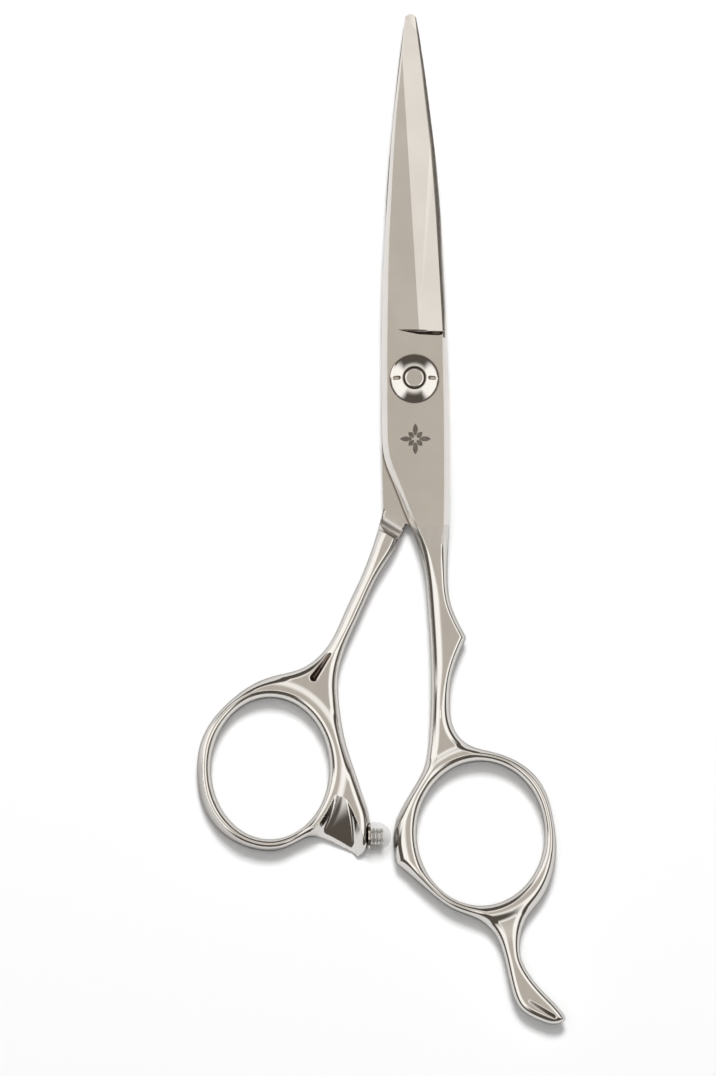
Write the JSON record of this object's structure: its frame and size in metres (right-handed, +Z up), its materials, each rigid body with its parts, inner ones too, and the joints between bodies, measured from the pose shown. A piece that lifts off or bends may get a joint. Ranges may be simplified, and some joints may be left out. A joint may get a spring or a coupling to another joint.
{
  "type": "hair cutting shears",
  "caption": "Hair cutting shears with offset handles, two finger rings, a curved finger rest, a flat tension nut and a soft bumper between the rings.",
  "frame": {"origin": "on the pivot axis, on the flat underside of the pivot post's flange, the plane the shears lie on", "axes": "+Z up along the pivot axis through the tension nut, +Y to the blade tips, +X to the finger ring's side"},
  "size_m": [0.061, 0.1704, 0.0063],
  "materials": {
    "satin_steel": "fine satin grain",
    "polished_steel": "mirror polish",
    "nut_steel": "bright polish with turning marks",
    "bearing_steel": "ground",
    "polymer": "natural acetal",
    "clear_silicone": "clear soft silicone"
  },
  "bodies": {
    "finger_half": {"finger_blade": "satin_steel", "finger_handle": "polished_steel", "pivot_bush": "polymer", "bearing_race_upper": "bearing_steel", "friction_washer": "polymer"},
    "thumb_half": {"thumb_blade": "satin_steel", "thumb_handle": "polished_steel", "pivot_post": "nut_steel", "bearing_race_lower": "bearing_steel", "bumper_seat": "nut_steel", "bumper_stud": "nut_steel", "bumper_cap": "clear_silicone"},
    "bearing": {"bearing_cage": "polymer", "bearing_balls": "bearing_steel"},
    "nut": {"tension_nut": "nut_steel", "spring_washer": "bearing_steel"}
  },
  "joints": [
    {"name": "blade_pivot", "type": "hinge", "parent": "finger_half", "child": "thumb_half", "pos_m": [0, 0, 0.003], "axis": [0, 0, -1], "range_deg": [0, 145]},
    {"name": "bearing_roll", "type": "hinge", "parent": "finger_half", "child": "bearing", "pos_m": [0, 0, 0.003], "axis": [0, 0, -1], "range_deg": [0, 75]},
    {"name": "nut_turn", "type": "hinge", "parent": "thumb_half", "child": "nut", "pos_m": [0, 0, 0.0055], "axis": [0, 0, 1], "range_deg": [-90, 90]}
  ],
  "couplings": [
    {"joint": "bearing_roll", "follows": "blade_pivot", "ratio": 0.5}
  ]
}
